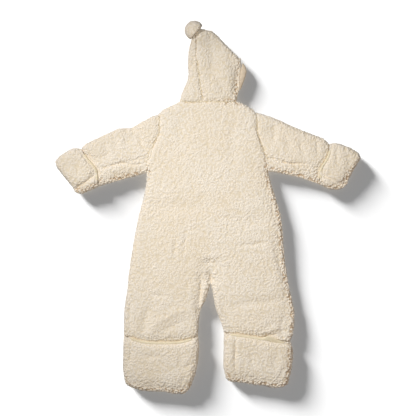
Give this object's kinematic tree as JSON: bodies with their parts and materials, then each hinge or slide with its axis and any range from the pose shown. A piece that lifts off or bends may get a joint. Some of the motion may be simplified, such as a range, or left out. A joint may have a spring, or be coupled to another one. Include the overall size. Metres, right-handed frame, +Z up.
{
  "type": "baby snowsuit",
  "caption": "Hooded baby snowsuit of curly fleece with a pointed hood and bobble, turned-over mitts and feet, laid face down.",
  "frame": {"origin": "on the surface the suit lies on, under the middle of the laid-out garment", "axes": "+X to the wearer's right side as it lies face down, +Y towards the hood, +Z up through the back of the suit"},
  "size_m": [0.671, 0.8186, 0.04],
  "materials": {
    "fleece": "cream curly pile, matt",
    "cotton": "smooth pale yellow cotton, matt",
    "zip_tape": "woven cream tape",
    "zip_metal": "plain pale metal"
  },
  "bodies": {
    "suit": {"back": "fleece", "front_left": "fleece", "front_right": "fleece", "sleeve_left": "fleece", "sleeve_right": "fleece", "mitt_palm_left": "fleece", "mitt_palm_right": "fleece", "mitt_flap_left": "fleece", "mitt_flap_right": "fleece", "mitt_binding_left": "cotton", "mitt_binding_right": "cotton", "foot_flap_left": "fleece", "foot_flap_right": "fleece", "foot_binding_left": "cotton", "foot_binding_right": "cotton", "hood_left": "fleece", "hood_right": "fleece", "hood_facing_left": "cotton", "hood_facing_right": "cotton", "bobble": "fleece", "zip_tape_left": "zip_tape", "zip_tape_right": "zip_tape", "zip_slider": "zip_metal"},
    "pull_tab": {"zip_pull": "zip_metal"}
  },
  "joints": [
    {"name": "pull_tab_hinge", "type": "hinge", "parent": "suit", "child": "pull_tab", "pos_m": [0.00231, 0.19893, 0.0028], "axis": [1, 0, 0], "range_deg": [0, 140]}
  ]
}
